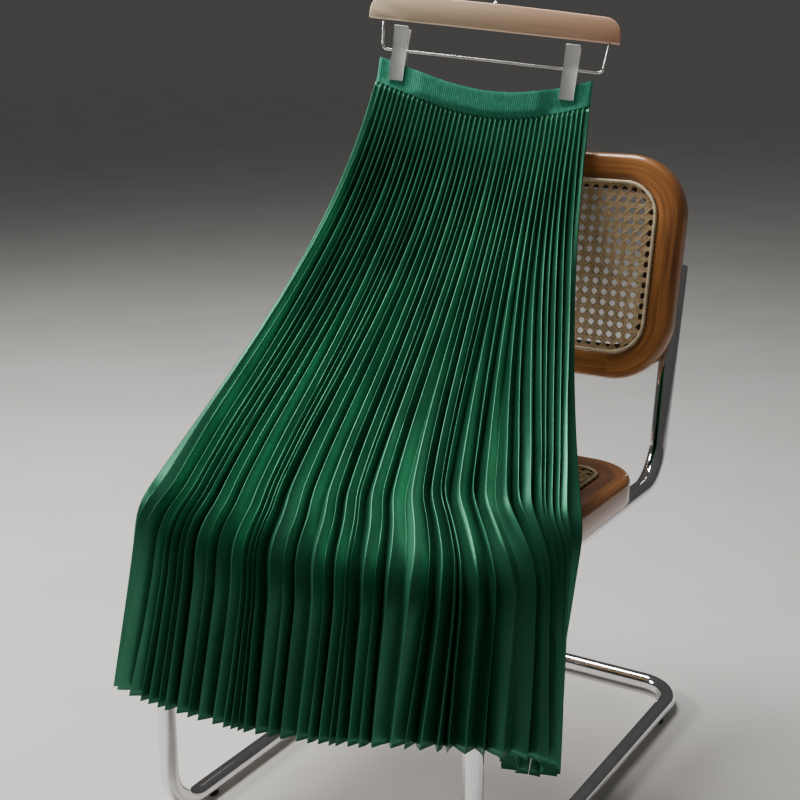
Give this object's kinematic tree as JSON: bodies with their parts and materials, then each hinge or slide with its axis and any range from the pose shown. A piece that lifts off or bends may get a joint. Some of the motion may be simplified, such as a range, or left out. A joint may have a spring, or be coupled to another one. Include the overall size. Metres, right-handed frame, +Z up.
{
  "type": "pleated skirt on a clip hanger over a cantilever chair",
  "caption": "Long pleated satin skirt held by a wooden clip hanger, its folds falling over the seat of a bent-tube chair with cane seat and back.",
  "frame": {"origin": "on the floor, under the middle of the bounding box", "axes": "+Z up, -Y towards the front of the chair and of the skirt, +X to the right seen from the front"},
  "size_m": [0.5728, 0.8094, 1.1222],
  "materials": {
    "skirt_front": "satin, pleated",
    "skirt_back": "satin, pleated",
    "waistband": "matt ribbed elastic",
    "hanger_bar": "pale, clear varnish",
    "hanger_wire": "polished",
    "hanger_hook": "polished",
    "hanger_ferrule": "polished",
    "clip_left_front_jaw": "white",
    "clip_left_back_jaw": "white",
    "clip_left_spring": "polished",
    "clip_right_front_jaw": "white",
    "clip_right_back_jaw": "white",
    "clip_right_spring": "polished",
    "chair_tube": "polished",
    "seat_frame": "varnished",
    "back_frame": "varnished",
    "seat_cane": "woven cane",
    "back_cane": "woven cane",
    "seat_bead": "cane bead",
    "back_bead": "cane bead",
    "glide_front_right": "black",
    "glide_front_left": "black",
    "glide_rear_right": "black",
    "glide_rear_left": "black"
  },
  "bodies": {
    "root": {"skirt_front": "skirt_front", "skirt_back": "skirt_back", "waistband": "waistband", "hanger_bar": "hanger_bar", "hanger_wire": "hanger_wire", "hanger_hook": "hanger_hook", "hanger_ferrule": "hanger_ferrule", "clip_left_front_jaw": "clip_left_front_jaw", "clip_left_back_jaw": "clip_left_back_jaw", "clip_left_spring": "clip_left_spring", "clip_right_front_jaw": "clip_right_front_jaw", "clip_right_back_jaw": "clip_right_back_jaw", "clip_right_spring": "clip_right_spring", "chair_tube": "chair_tube", "seat_frame": "seat_frame", "back_frame": "back_frame", "seat_cane": "seat_cane", "back_cane": "back_cane", "seat_bead": "seat_bead", "back_bead": "back_bead", "glide_front_right": "glide_front_right", "glide_front_left": "glide_front_left", "glide_rear_right": "glide_rear_right", "glide_rear_left": "glide_rear_left"}
  },
  "joints": []
}
